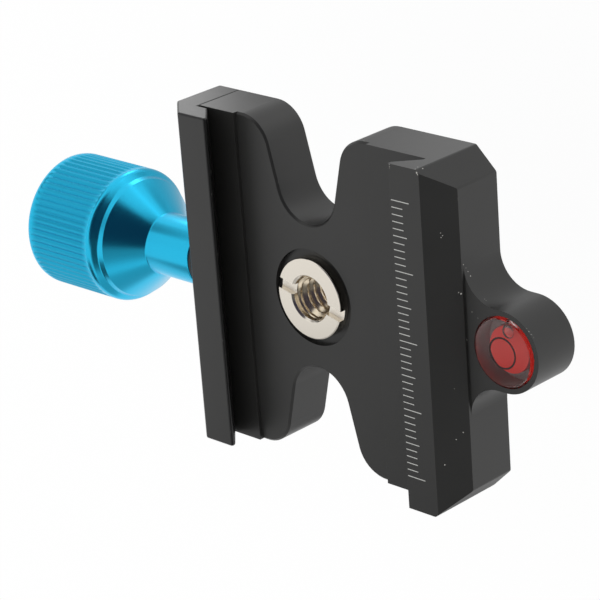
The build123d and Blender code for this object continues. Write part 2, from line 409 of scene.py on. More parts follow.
@dataclass(frozen=True)
class NickelPlate(Finish):
    """Faced brass under bright nickel, with facing rings round the bushing's axis.

    The eye sees a warm grey mirror, broken a little in rings. The real rings lie about 0.05 mm
    apart and are drawn three times as far apart, because finer ones don't show.
    """

    ring_mm: float = 0.15
    ring_bump: float = 0.12

    def detail(self, tree: NodeTree) -> dict[str, object]:
        """Makes the facing rings.

        Args:
            tree: the material's tree.

        Returns:
            The shader's normal.
        """
        place = add(tree, COORDINATES).outputs["Object"]
        flat = add(tree, VECTOR_MATH, {0: place, 1: (1.0, 1.0, 0.0)}, operation="MULTIPLY")
        reach = add(tree, VECTOR_MATH, {0: flat.outputs["Vector"]}, operation="LENGTH")
        inputs = {"W": reach.outputs["Value"], "Scale": scale_of(self.ring_mm), "Detail": 2.0}
        rings = add(tree, NOISE, inputs, noise_dimensions="1D")
        inputs = {"Height": rings.outputs["Fac"], "Strength": self.ring_bump, "Distance": RELIEF}
        bump = add(tree, BUMP, inputs)
        return {"Normal": bump.outputs["Normal"]}


@dataclass(frozen=True)
class GroundSteel(Finish):
    """Centreless ground stainless steel, with soft streaks along X.

    The eye sees a grey metal whose gloss changes in streaks. Grinding leaves scratches of about
    0.02 mm, which are drawn as streaks of 0.3 mm, because finer ones don't show.
    """

    streak_mm: float = 0.3
    streak_stretch: float = 0.1
    glossier: float = 0.08
    duller: float = 0.1

    def detail(self, tree: NodeTree) -> dict[str, object]:
        """Makes the grinding streaks in the roughness.

        Args:
            tree: the material's tree.

        Returns:
            The shader's roughness.
        """
        place = add(tree, COORDINATES).outputs["Object"]
        stretch = (self.streak_stretch, 1.0, 1.0)
        stretched = add(tree, "ShaderNodeMapping", {"Vector": place, "Scale": stretch})
        inputs = {"Vector": stretched.outputs["Vector"], "Scale": scale_of(self.streak_mm)}
        streaks = add(tree, NOISE, inputs)
        sheen = add(
            tree,
            MAP_RANGE,
            {
                "Value": streaks.outputs["Fac"],
                "To Min": self.roughness - self.glossier,
                "To Max": self.roughness + self.duller,
            },
        )
        return {"Roughness": sheen.outputs["Result"]}


@dataclass(frozen=True)
class MouldedPlastic(Finish):
    """Moulded, cast or printed plastic and ink.

    The eye sees a dull skin in one even colour with a trace of a second one in it. The real
    unevenness is finer than 0.1 mm and is drawn coarser, because it doesn't show otherwise.
    """

    mottle_mm: float = 0.6
    second: str = "#000000"

    def detail(self, tree: NodeTree) -> dict[str, object]:
        """Makes the uneven tint.

        Args:
            tree: the material's tree.

        Returns:
            The shader's colour.
        """
        place = add(tree, COORDINATES).outputs["Object"]
        mottle = add(tree, NOISE, {"Vector": place, "Scale": scale_of(self.mottle_mm)})
        tints = {"A": linear(self.colour), "B": linear(self.second)}
        tint = add(tree, MIX, {"Factor": mottle.outputs["Fac"], **tints}, data_type="RGBA")
        return {"Base Color": tint.outputs["Result"]}


@dataclass(frozen=True)
class ClearAcrylic(Finish):
    """Cast acrylic, polished on its top and turned on its wall.

    The eye sees through it to the red pool, with bright edges where it bends the light.
    """

    index: float = 1.49

    def detail(self, tree: NodeTree) -> dict[str, object]:
        """Lets the light through, bent by acrylic's index."""
        return {"Transmission Weight": 1.0, "IOR": self.index}


# Satin near-black, its broken edges darker: painted shade. The body's edges are paler, and carry the chips.
BLACK = BlackAnodised("black_anodised_aluminium", "#1d1d1c", 0.38, cut="#070707")
CHIPPED_BLACK = BlackAnodised(
    "chipped_black_anodised_aluminium", "#1d1d1c", 0.38, wear=0.45, chips=CHIPS
)
# A bright coloured mirror.
BLUE = BlueAnodised("blue_anodised_aluminium", "#2fc3ee", 0.24, 1.0)
# A warm grey mirror. The milled slot's floor scatters, and is tinted paler as a painted highlight. The
# thread goes brown in its depth.
NICKEL = NickelPlate("nickel_plated_brass", "#ebe4d8", 0.2, 1.0)
SLOT_NICKEL_PAINTED_HIGHLIGHT = NickelPlate("plated_milled_slot_painted_highlight", "#fff8ec", 0.5, 0.4)
THREAD_NICKEL = NickelPlate("plated_thread", "#efe0c6", 0.2, 1.0)
# Plain grey metal, between the parts.
STEEL = GroundSteel("ground_stainless_steel", "#b9babb", 0.3, 1.0)
# A dull black on the washer, put there as painted shadow between the knob and the jaw.
SHADOW_BLACK_ACETAL = MouldedPlastic("black_acetal_painted_shadow", "#1e1e1e", 0.42, second="#171717")
# Clear on top, frosted on the wall, so the block's rim glows.
ACRYLIC = ClearAcrylic("clear_acrylic", "#fff4f2", 0.02)
TURNED_ACRYLIC = ClearAcrylic("turned_acrylic_wall", "#fff4f2", 0.3)
# The level's red, the pale line round it and its dark printed ring.
RED_POOL = MouldedPlastic("red_dyed_liquid", "#ff2410", 0.5, second="#f6200c")
WELL = MouldedPlastic("level_glue_line", "#7d5a57", 0.6, second="#6b4c4a")
RING_INK = MouldedPlastic("target_ring_ink", "#2a1212", 0.5, second="#1d0b0b")
# Light grey lines, uneven where the laser took the black skin off.
MARK_INK = MouldedPlastic("laser_marks", "#c9c9c6", 0.6, mottle_mm=0.25, second="#9b9b98")


def mesh_object(name: str, points: list[Vector], faces: list[tuple[int, ...]]) -> Object:
    """Makes a mesh object at the origin.

    Args:
        name: the piece's name.
        points: places in millimetres.
        faces: point numbers of each face.

    Returns:
        The linked object.
    """
    mesh = bpy.data.meshes.new(name)
    mesh.from_pydata([Vector(point) * MM for point in points], [], faces)
    mesh.update()
    piece = bpy.data.objects.new(name, mesh)
    bpy.context.scene.collection.objects.link(piece)
    return piece


def rounded(corners: list[tuple[float, float, float]], steps: int = 4) -> Profile:
    """Rounds the corners of an open outline.

    Args:
        corners: along, out and rounding radius of each corner, in millimetres.
        steps: straight runs in each rounding.

    Returns:
        The outline's points.
    """
    outline: Profile = []
    for number, (along, out, radius) in enumerate(corners):
        if radius <= 0 or number in (0, len(corners) - 1):
            outline.append((along, out))
            continue
        corner = Vector((along, out))
        before = (Vector(corners[number - 1][:2]) - corner).normalized()
        after = (Vector(corners[number + 1][:2]) - corner).normalized()
        half = before.angle(after) / 2
        reach = radius / tan(half)
        centre = corner + (before + after).normalized() * radius / sin(half)
        start, end = corner + before * reach - centre, corner + after * reach - centre
        for step in range(steps + 1):
            arm = start.slerp(end, step / steps) * radius
            outline.append((centre.x + arm.x, centre.y + arm.y))
    return outline


def quads(rows: int, columns: int) -> list[tuple[int, ...]]:
    """Numbers the corners of a grid's faces.

    Args:
        rows: how many faces the grid has along.
        columns: how many faces it has across.

    Returns:
        Four point numbers for each face.
    """
    width = columns + 1
    starts = [row * width + column for row in range(rows) for column in range(columns)]
    return [(start, start + 1, start + width + 1, start + width) for start in starts]


def unit_grid(name: str, rows: int, columns: int) -> Object:
    """Makes a flat grid of the unit square, for a tree to shape.

    Args:
        name: the piece's name.
        rows: faces along X.
        columns: faces along Y.

    Returns:
        The linked object.
    """
    points = [
        Vector((row / rows, column / columns, 0)) / MM
        for row in range(rows + 1)
        for column in range(columns + 1)
    ]
    return mesh_object(name, points, quads(rows, columns))


@contextmanager
def editing(piece: Object) -> Iterator[BMesh]:
    """Opens a piece's mesh for editing and writes it back at the end.

    Args:
        piece: the mesh object.

    Yields:
        The mesh to edit.
    """
    work = bmesh.new()
    work.from_mesh(piece.data)
    yield work
    work.to_mesh(piece.data)
    work.free()


def join(piece: Object, *others: Object) -> None:
    """Joins other mesh objects into a piece and deletes them.

    Args:
        piece: the mesh object that stays.
        others: the mesh objects that go into it.
    """
    with editing(piece) as work:
        for other in others:
            work.from_mesh(other.data)
            bpy.data.objects.remove(other)


def lathe(
    name: str, outline: Profile, segments: int, centre: Vector, axis: Axis = Axis.Z
) -> Object:
    """Turns an outline round an axis through a centre.

    Args:
        name: the piece's name.
        outline: along and out of each point, in millimetres, from one end to the other.
        segments: straight runs round the circle.
        centre: a point on the axis.
        axis: the axis that it is turned round.

    Returns:
        The turned piece, closed where its outline meets the axis, with its faces outwards.
    """
    points, faces = [], []
    for along, out in outline:
        for turn in range(segments):
            angle = 2 * pi * turn / segments
            across, up = out * cos(angle), out * sin(angle)
            place = (along, across, up) if axis is Axis.X else (across, up, along)
            points.append(centre + Vector(place))
    for ring in range(len(outline) - 1):
        for turn in range(segments):
            here, there = ring * segments + turn, ring * segments + (turn + 1) % segments
            faces.append((here, there, there + segments, here + segments))
    return tidied(mesh_object(name, points, faces))


def tidied(piece: Object) -> Object:
    """Merges a piece's doubles and turns its faces outwards.

    Args:
        piece: the mesh object.

    Returns:
        The same object.
    """
    with editing(piece) as work:
        bmesh.ops.remove_doubles(work, verts=work.verts, dist=MERGE)
        bmesh.ops.dissolve_degenerate(work, edges=work.edges, dist=SLIVER)
        bmesh.ops.recalc_face_normals(work, faces=work.faces)
    return piece


def smooth(piece: Object, angle: float = 40.0) -> Object:
    """Shades a piece smooth, with creases where its faces turn by more than an angle.

    Args:
        piece: the mesh object.
        angle: the least crease angle in degrees.

    Returns:
        The same object.
    """
    with editing(piece) as work:
        for face in work.faces:
            face.smooth = True
        for edge in work.edges:
            edge.smooth = not edge.is_manifold or edge.calc_face_angle(0.0) < radians(angle)
    return piece


def settled(piece: Object) -> Object:
    """Turns a piece's modifiers into plain mesh.

    Args:
        piece: the object with modifiers.

    Returns:
        The same object without them.
    """
    graph = bpy.context.evaluated_depsgraph_get()
    done = bpy.data.meshes.new_from_object(piece.evaluated_get(graph), depsgraph=graph)
    piece.modifiers.clear()
    old, piece.data = piece.data, done
    done.name = piece.name
    bpy.data.meshes.remove(old)
    return piece


def flattened(piece: Object, keep_sharp: bool) -> Object:
    """Shades a piece's large faces flat, so that the small ones between them carry the turn.

    Args:
        piece: the mesh object, shaded smooth.
        keep_sharp: whether its creases stay.

    Returns:
        The same object.
    """
    modifier = piece.modifiers.new("flat_faces", "WEIGHTED_NORMAL")
    modifier.weight, modifier.keep_sharp = LARGE_FACES, keep_sharp
    return settled(piece)


def dressed(piece: Object, *finishes: Finish) -> Object:
    """Gives a piece its finishes, of which the first covers every face that isn't given another.

    Args:
        piece: the mesh object.
        finishes: its finishes.

    Returns:
        The same object.
    """
    piece.data.materials.clear()
    for finish in finishes:
        piece.data.materials.append(finish.build())
    return piece


def carried_over(frame: dict, node: str, finish: Finish) -> None:
    """Gives a solid whose shape is right its finish.

    Args:
        frame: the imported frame.
        node: the solid's name.
        finish: its finish.
    """
    dressed(frame["nodes"][node], finish)
    log.info("%s keeps its solid, in %s", node, finish.name)


def declared(piece: Object, body: Body, slot: Slot, *nodes: str) -> Object:
    """Tells the frame what a piece rides on and stands for.

    Args:
        piece: the finished piece.
        body: the body that it moves with.
        slot: the record's material slot; not used.
        nodes: the solids that it stands for.

    Returns:
        The same object.
    """
    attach(piece, body.value)
    if nodes:
        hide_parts(*nodes)
    stands_for = ", ".join(nodes) or "nothing"
    log.info("%s rides on %s and stands for %s", piece.name, body.value, stands_for)
    return piece


@dataclass
class NodeProgram:
    """A Geometry Nodes tree with named inputs, run once on a piece and turned into plain mesh."""

    name: str
    sizes: dict[str, float | int]
    tree: NodeTree = field(init=False)
    entry: Node = field(init=False)

    def __post_init__(self) -> None:
        """Makes the tree with its inputs and its output."""
        self.tree = bpy.data.node_groups.new(self.name, "GeometryNodeTree")
        sockets = self.tree.interface
        sockets.new_socket("Geometry", in_out="INPUT", socket_type="NodeSocketGeometry")
        for title, value in self.sizes.items():
            kind = "NodeSocketInt" if isinstance(value, int) else "NodeSocketFloat"
            sockets.new_socket(title, in_out="INPUT", socket_type=kind)
        sockets.new_socket("Finish", in_out="INPUT", socket_type="NodeSocketMaterial")
        sockets.new_socket("Geometry", in_out="OUTPUT", socket_type="NodeSocketGeometry")
        self.entry = self.tree.nodes.new("NodeGroupInput")

    def close(self, shape: NodeSocket) -> None:
        """Ends the tree: real geometry, merged where it meets, in the finish.

        Args:
            shape: the geometry to hand out.
        """
        real = add(self.tree, "GeometryNodeRealizeInstances", {"Geometry": shape})
        inputs = {"Geometry": real.outputs["Geometry"], "Distance": MERGE}
        merged = add(self.tree, "GeometryNodeMergeByDistance", inputs)
        inputs = {"Geometry": merged.outputs["Geometry"], "Material": self.entry.outputs["Finish"]}
        painted = add(self.tree, "GeometryNodeSetMaterial", inputs)
        add(self.tree, "NodeGroupOutput", {"Geometry": painted.outputs["Geometry"]})

    def run(self, piece: Object, finish: Finish) -> Object:
        """Runs the tree on a piece.

        Args:
            piece: the mesh object that feeds the tree.
            finish: the finish that it comes out in.

        Returns:
            The same object as plain mesh.
        """
        modifier = piece.modifiers.new(self.name, "NODES")
        modifier.node_group = self.tree
        for socket in self.tree.interface.items_tree:
            if socket.in_out == "INPUT" and socket.name in self.sizes:
                modifier[socket.identifier] = self.sizes[socket.name]
            elif socket.in_out == "INPUT" and socket.name == "Finish":
                modifier[socket.identifier] = finish.build()
        return settled(piece)


def repeat_round(count: int) -> NodeProgram:
    """A tree that repeats a sector round the X axis of the origin.

    Args:
        count: how many sectors make the round.

    Returns:
        The tree, ready to run on the sector.
    """
    program = NodeProgram("repeat_round", {"Count": count})
    tree, entry = program.tree, program.entry
    origin = (0.0, 0.0, 0.0)
    inputs = {"Count": entry.outputs["Count"], "Start Location": origin, "Offset": origin}
    seeds = add(tree, "GeometryNodeMeshLine", inputs)
    number = add(tree, "GeometryNodeInputIndex")
    parts = {0: number.outputs[0], 1: entry.outputs["Count"]}
    share = add(tree, MATH, parts, operation="DIVIDE")
    angle = add(tree, MATH, {0: share.outputs[0], 1: 2 * pi}, operation="MULTIPLY")
    turn = add(tree, "ShaderNodeCombineXYZ", {"X": angle.outputs[0]})
    inputs = {
        "Points": seeds.outputs["Mesh"],
        "Instance": entry.outputs["Geometry"],
        "Rotation": turn.outputs["Vector"],
    }
    program.close(add(tree, "GeometryNodeInstanceOnPoints", inputs).outputs["Instances"])
    return program


def threaded_wall(
    length: float, radius: float, depth: float, pitch: float, fade: float
) -> NodeProgram:
    """A tree that makes a threaded wall round X from a flat grid of the unit square.

    Args:
        length: the wall's length in millimetres.
        radius: the crest radius of a screw, or the root radius of a nut.
        depth: how far the thread goes in from that radius.
        pitch: the thread's pitch.
        fade: over how much length the thread runs out at each end.

    Returns:
        The tree, ready to run on a grid whose X goes along and Y round, both from 0 to 1.
    """
    sizes = {"Length": length, "Radius": radius, "Depth": depth, "Pitch": pitch, "Fade": fade}
    program = NodeProgram("threaded_wall", sizes)
    tree, entry = program.tree, program.entry
    position = add(tree, "GeometryNodeInputPosition").outputs[0]
    at = add(tree, "ShaderNodeSeparateXYZ", {"Vector": position})
    known = {size: entry.outputs[size] for size in sizes}
    known |= {"row": at.outputs["X"], "column": at.outputs["Y"]}
    # Each step's name, what it takes, and its operation. One with none maps its value to 0 to 1.
    steps = (
        ("along", {0: "row", 1: "Length"}, "MULTIPLY"),
        ("advance", {0: "along", 1: "Pitch"}, "DIVIDE"),
        ("turns", {0: "advance", 1: "column"}, "SUBTRACT"),
        ("half turn", {0: "turns", 1: 0.5}, "PINGPONG"),
        ("wave", {0: "half turn", 1: 2.0}, "MULTIPLY"),
        ("flank", {"Value": "wave", "From Min": THREAD_FLAT, "From Max": 1 - THREAD_FLAT}, None),
        ("remainder", {0: "Length", 1: "along"}, "SUBTRACT"),
        ("to end", {0: "along", 1: "remainder"}, "MINIMUM"),
        ("run-out", {"Value": "to end", "From Max": "Fade"}, None),
        ("share", {0: "flank", 1: "run-out"}, "MULTIPLY"),
        ("cut", {0: "share", 1: "Depth"}, "MULTIPLY"),
        ("out", {0: "Radius", 1: "cut"}, "SUBTRACT"),
        ("angle", {0: "column", 1: 2 * pi}, "MULTIPLY"),
        ("cosine", {0: "angle"}, "COSINE"),
        ("sine", {0: "angle"}, "SINE"),
        ("across", {0: "out", 1: "cosine"}, "MULTIPLY"),
        ("up", {0: "out", 1: "sine"}, "MULTIPLY"),
        ("X", {0: "along", 1: MM}, "MULTIPLY"),
        ("Y", {0: "across", 1: MM}, "MULTIPLY"),
        ("Z", {0: "up", 1: MM}, "MULTIPLY"),
    )
    for name, takes, operation in steps:
        inputs = {socket: known.get(value, value) for socket, value in takes.items()}
        kind, settings = (MATH, {"operation": operation}) if operation else (MAP_RANGE, {})
        known[name] = add(tree, kind, inputs, **settings).outputs[0]
    place = add(tree, "ShaderNodeCombineXYZ", {axis: known[axis] for axis in "XYZ"})
    inputs = {"Geometry": entry.outputs["Geometry"], "Position": place.outputs["Vector"]}
    program.close(add(tree, "GeometryNodeSetPosition", inputs).outputs["Geometry"])
    return program


def coil_along_x(radius: float, wire: float, length: float, turns: float) -> NodeProgram:
    """A tree that sweeps a wire along a coil on the X axis.

    Args:
        radius: the coil's mean radius in millimetres.
        wire: the wire's radius.
        length: the coil's length.
        turns: how many turns it has.

    Returns:
        The tree, ready to run on any piece.
    """
    sizes = {"Radius": radius * MM, "Wire": wire * MM, "Length": length * MM, "Turns": turns}
    program = NodeProgram("coil_along_x", sizes)
    tree, entry = program.tree, program.entry
    inputs = {
        "Resolution": COIL_POINTS,
        "Rotations": entry.outputs["Turns"],
        "Start Radius": entry.outputs["Radius"],
        "End Radius": entry.outputs["Radius"],
        "Height": entry.outputs["Length"],
    }
    spiral = add(tree, "GeometryNodeCurveSpiral", inputs)
    inputs = {"Geometry": spiral.outputs["Curve"], "Rotation": (0.0, pi / 2, 0.0)}
    laid = add(tree, "GeometryNodeTransform", inputs)
    inputs = {"Resolution": WIRE_SIDES, "Radius": entry.outputs["Wire"]}
    round_wire = add(tree, "GeometryNodeCurvePrimitiveCircle", inputs)
    inputs = {
        "Curve": laid.outputs["Geometry"],
        "Profile Curve": round_wire.outputs["Curve"],
        "Fill Caps": True,
    }
    program.close(add(tree, "GeometryNodeCurveToMesh", inputs).outputs["Mesh"])
    return program


@dataclass
class MilledBar:
    """A milled aluminium part: its solid with small broken edges that carry the wear."""

    frame: dict
    name: str
    node: str
    body: Body
    finish: Finish
    end_break: float
    edge_break: float = 0.11
    end_margin: float = 0.02
    corner: float = 24.0
    flat_turn: float = 0.3
    break_steps: int = 2
    break_fullness: float = 0.6

    def sharp(self, work: BMesh) -> list[BMEdge]:
        """The edges where two faces turn by more than the corner angle."""
        least = radians(self.corner)
        return [e for e in work.edges if e.is_manifold and e.calc_face_angle(0.0) > least]

    def broken(self, work: BMesh, edges: list[BMEdge], width: float) -> None:
        """Rounds edges over a width and marks the new faces for wear.

        Args:
            work: the part's mesh.
            edges: its edges to round.
            width: how far the rounding reaches from each edge.
        """
        layer = work.faces.layers.float["edge"]
        result = bmesh.ops.bevel(
            work,
            geom=edges,
            offset=width * MM,
            offset_type="OFFSET",
            segments=self.break_steps,
            profile=self.break_fullness,
            affect="EDGES",
            clamp_overlap=True,
        )
        for face in result["faces"]:
            face[layer] = 1.0

    def build(self) -> None:
        """Copies the solid and breaks its edges, those at its two ends more than the rest."""
        piece = bpy.data.objects.new(self.name, self.frame["nodes"][self.node].data.copy())
        bpy.context.scene.collection.objects.link(piece)
        with editing(piece) as work:
            bmesh.ops.remove_doubles(work, verts=work.verts, dist=MERGE)
            turn = radians(self.flat_turn)
            bmesh.ops.dissolve_limit(work, angle_limit=turn, verts=work.verts, edges=work.edges)
            layer = work.faces.layers.float.new("edge")
            end = max(vert.co.y for vert in work.verts) - self.end_margin * MM
            at_ends = [e for e in self.sharp(work) if min(abs(vert.co.y) for vert in e.verts) > end]
            self.broken(work, at_ends, self.end_break)
            others = [e for e in self.sharp(work) if not any(face[layer] for face in e.link_faces)]
            self.broken(work, others, self.edge_break)
            for face in work.faces:
                face.smooth = True
        flattened(piece, keep_sharp=False)
        dressed(piece, self.finish)
        declared(piece, self.body, Slot.BLACK, self.node)


@dataclass
class Knob:
    """The turned knob, its screw and its washer."""

    frame: dict
    height: float = 4.2
    neck_start: float = -23.95
    neck_end: float = -32.85
    neck_radius: float = 4.65
    neck_edge: float = 0.25
    neck_foot: float = 0.35
    land_start: float = -37.6
    land_end: float = -38.45
    land_start_radius: float = 8.85
    land_end_radius: float = 9.05
    land_edge: float = 0.15
    land_foot: float = 0.5
    grip_start: float = -39.3
    grip_end: float = -53.3
    grip_radius: float = 10.05
    shoulder_rounding: float = 1.2
    end_rounding: float = 1.0
    dish_radius: float = 7.0
    dish_depth: float = 0.8
    dish_slope: float = 0.8
    dish_edge: float = 0.2
    dish_foot: float = 0.3
    grooves: int = 64
    groove_depth: float = 0.23
    groove_start: float = -39.9
    groove_land: float = 0.14
    groove_flank: float = 0.33
    groove_places: tuple[float, ...] = (-0.5, -0.44, -0.3, -0.14, 0.14, 0.3, 0.44, 0.5)
    run_out: float = 1.3
    run_out_steps: int = 5
    ring_gap: float = 0.01
    crease: float = 32.0
    screw_radius: float = 2.45
    screw_depth: float = 0.43
    screw_pitch: float = 0.8
    screw_fade: float = 0.4
    screw_chamfer: float = 0.35
    screw_rows: int = 10
    screw_sides: int = 48
    screw_crease: float = 60.0
    blue: Finish = BLUE
    steel: Finish = STEEL
    # The washer's black is painted shadow.
    plastic: Finish = SHADOW_BLACK_ACETAL

    def outline(self) -> Profile:
        """Draws the knob from its neck to the middle of its end, with the grip's own rings.

        Returns:
            Along and out of each point.
        """
        dish_x = self.grip_end + self.dish_depth
        corners = [
            (self.neck_start, self.screw_radius, 0),
            (self.neck_start, self.neck_radius, self.neck_edge),
            (self.neck_end, self.neck_radius, self.neck_foot),
            (self.land_start, self.land_start_radius, self.land_edge),
            (self.land_end, self.land_end_radius, self.land_foot),
            (self.grip_start, self.grip_radius, self.shoulder_rounding),
            (self.grip_end, self.grip_radius, self.end_rounding),
            (self.grip_end, self.dish_radius, self.dish_edge),
            (dish_x, self.dish_radius - self.dish_slope, self.dish_foot),
            (dish_x, 0.0, 0),
        ]
        line = rounded(corners)
        first, last = self.groove_start, self.grip_end + self.end_rounding
        steps = self.run_out_steps
        places = [first - self.run_out * step / steps for step in range(steps + 1)]
        places += [last + self.run_out * step / steps for step in range(steps, 0, -1)]
        before = [point for point in line if point[0] > first + self.ring_gap]
        return [*before, *((place, self.grip_radius) for place in places), *line[len(before) :]]

    def worked(self, along: float) -> float:
        """Tells how fully the grip's grooves are cut at a place along the knob.

        Args:
            along: the place on the X axis.

        Returns:
            A share from 0 to 1.
        """
        from_start = (self.groove_start - along) / self.run_out
        from_end = (along - self.grip_end - self.end_rounding) / self.run_out
        share = min(1.0, max(0.0, min(from_start, from_end)))
        return sin(pi / 2 * share)

    def groove(self, place: float) -> float:
        """A groove's share of its full depth at a place across it, from -0.5 to 0.5."""
        return min(1.0, max(0.0, (abs(place) - self.groove_land) / self.groove_flank))

    def raise_to_axis(self, piece: Object) -> None:
        """Lifts a piece made round the origin's X axis to the screw's height."""
        piece.data.transform(Matrix.Translation(Vector((0, 0, self.height * MM))))

    def turn_knob(self) -> None:
        """Makes one rib of the knob and repeats it round."""
        points, dull = [], []
        line = self.outline()
        for along, out in line:
            for place in self.groove_places:
                angle = 2 * pi * place / self.grooves
                cut = self.worked(along) * self.groove(place)
                reach = out - self.groove_depth * cut
                points.append(Vector((along, reach * cos(angle), reach * sin(angle))))
                dull.append(self.worked(along))
        knob = mesh_object("turned_knob", points, quads(len(line) - 1, len(self.groove_places) - 1))
        knob.data.attributes.new("grip", "FLOAT", "POINT").data.foreach_set("value", dull)
        repeat_round(self.grooves).run(knob, self.blue)
        self.raise_to_axis(knob)
        smooth(tidied(knob), self.crease)
        declared(knob, Body.KNOB, Slot.BLUE, "clamp_knob")

    def turn_screw(self) -> None:
        """Makes the screw's threaded wall and closes its two ends."""
        low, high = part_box("clamp_screw")
        start, end = low.x / MM, high.x / MM
        length = end - start - self.screw_chamfer
        rows = round(length / self.screw_pitch) * self.screw_rows
        screw = unit_grid("threaded_screw", rows, self.screw_sides)
        sizes = (length, self.screw_radius, self.screw_depth, self.screw_pitch, self.screw_fade)
        threaded_wall(*sizes).run(screw, self.steel)
        screw.data.transform(Matrix.Translation(Vector((start * MM, 0, 0))))
        tip = (end, self.screw_radius - self.screw_chamfer)
        ends = (
            ("screw_end", [(start + length, self.screw_radius), tip, (end, 0.0)]),
            ("screw_foot", [(start, 0.0), (start, self.screw_radius)]),
        )
        sides, origin = self.screw_sides, Vector((0, 0, 0))
        join(screw, *(lathe(name, line, sides, origin, Axis.X) for name, line in ends))
        self.raise_to_axis(screw)
        smooth(tidied(screw), self.screw_crease)
        dressed(screw, self.steel)
        declared(screw, Body.KNOB, Slot.STEEL, "clamp_screw")

    def build(self) -> None:
        """Makes the knob and the screw, and dresses the washer in black as painted shadow."""
        self.turn_knob()
        self.turn_screw()
        carried_over(self.frame, "thrust_washer", self.plastic)


@dataclass
class Bushing:
    """The slotted bushing with its tripod thread."""

    flange_radius: float = 5.95
    flange_foot: float = 6.9
    face: float = 8.5
    shank_radius: float = 4.7
    bore_radius: float = 3.2
    mouth_chamfer: float = 0.3
    edge_rounding: float = 0.1
    rim_rounding: float = 0.16
    foot_rounding: float = 0.2
    thread_depth: float = 0.62
    thread_pitch: float = 1.27
    thread_top: float = 7.5
    thread_fade: float = 0.5
    thread_rows: int = 90
    slot_width: float = 1.6
    slot_floor: float = 7.6
    slot_angle: float = -13.7
    slot_reach: float = 1.5
    segments: int = 96
    crease: float = 35.0
    tolerance: float = 0.01
    upward: float = 0.9
    nickel: Finish = NICKEL
    # The slot floor's paler nickel is partly a painted highlight.
    milled: Finish = SLOT_NICKEL_PAINTED_HIGHLIGHT
    tapped: Finish = THREAD_NICKEL

    def turned(self) -> Object:
        """Turns the bushing and threads its bore.

        Returns:
            The closed piece, still without its slot.
        """
        outline = rounded(
            [
                (self.thread_top, self.bore_radius, 0),
                (self.face - self.mouth_chamfer, self.bore_radius, self.edge_rounding),
                (self.face, self.bore_radius + self.mouth_chamfer, self.edge_rounding),
                (self.face, self.flange_radius, self.rim_rounding),
                (self.flange_foot, self.flange_radius, self.edge_rounding),
                (self.flange_foot, self.shank_radius, 0),
                (0.0, self.shank_radius, self.foot_rounding),
                (0.0, self.bore_radius, 0),
            ]
        )
        bushing = lathe("slotted_bushing", outline, self.segments, Vector((0, 0, 0)))
        wall = unit_grid("bushing_thread", self.thread_rows, self.segments)
        sizes = (self.bore_radius, self.thread_depth, self.thread_pitch, self.thread_fade)
        threaded_wall(self.thread_top, *sizes).run(wall, self.nickel)
        wall.data.transform(Matrix.Rotation(-pi / 2, 4, "Y"))
        join(bushing, wall)
        return tidied(bushing)

    def slot_cutter(self) -> Object:
        """Makes the box that the slot is cut with, which reaches past the flange and over its face.

        Returns:
            The cutter.
        """
        depth = (self.face - self.slot_floor) * self.slot_reach
        half = Vector((self.flange_radius + 1, self.slot_width / 2, depth / 2))
        middle = Vector((0, 0, self.slot_floor + half.z))
        signs = [(x, y, z) for x in (-1, 1) for y in (-1, 1) for z in (-1, 1)]
        turn = Matrix.Rotation(radians(self.slot_angle), 3, "Z")
        corners = [middle + turn @ (half * Vector(sign)) for sign in signs]
        sides = [(0, 1, 3, 2), (4, 6, 7, 5), (0, 4, 5, 1), (2, 3, 7, 6), (0, 2, 6, 4), (1, 5, 7, 3)]
        return tidied(mesh_object("slot_cutter", corners, sides))

    def build(self) -> None:
        """Turns the bushing, cuts its slot and dresses both and the thread."""
        bushing, cutter = self.turned(), self.slot_cutter()
        cut = bushing.modifiers.new("slot", "BOOLEAN")
        cut.operation, cut.object, cut.solver = "DIFFERENCE", cutter, "EXACT"
        settled(bushing)
        bpy.data.objects.remove(cutter)
        smooth(bushing, self.crease)
        flattened(bushing, keep_sharp=True)
        dressed(bushing, self.nickel, self.milled, self.tapped)
        for face in bushing.data.polygons:
            middle = face.center / MM
            on_floor = abs(middle.z - self.slot_floor) < self.tolerance
            # The slot's floor takes the paler nickel, a painted highlight.
            if on_floor and face.normal.z > self.upward:
                face.material_index = 1
            elif hypot(middle.x, middle.y) < self.bore_radius - self.tolerance:
                face.material_index = 2
        declared(bushing, Body.BASE, Slot.NICKEL, "thread_bushing")


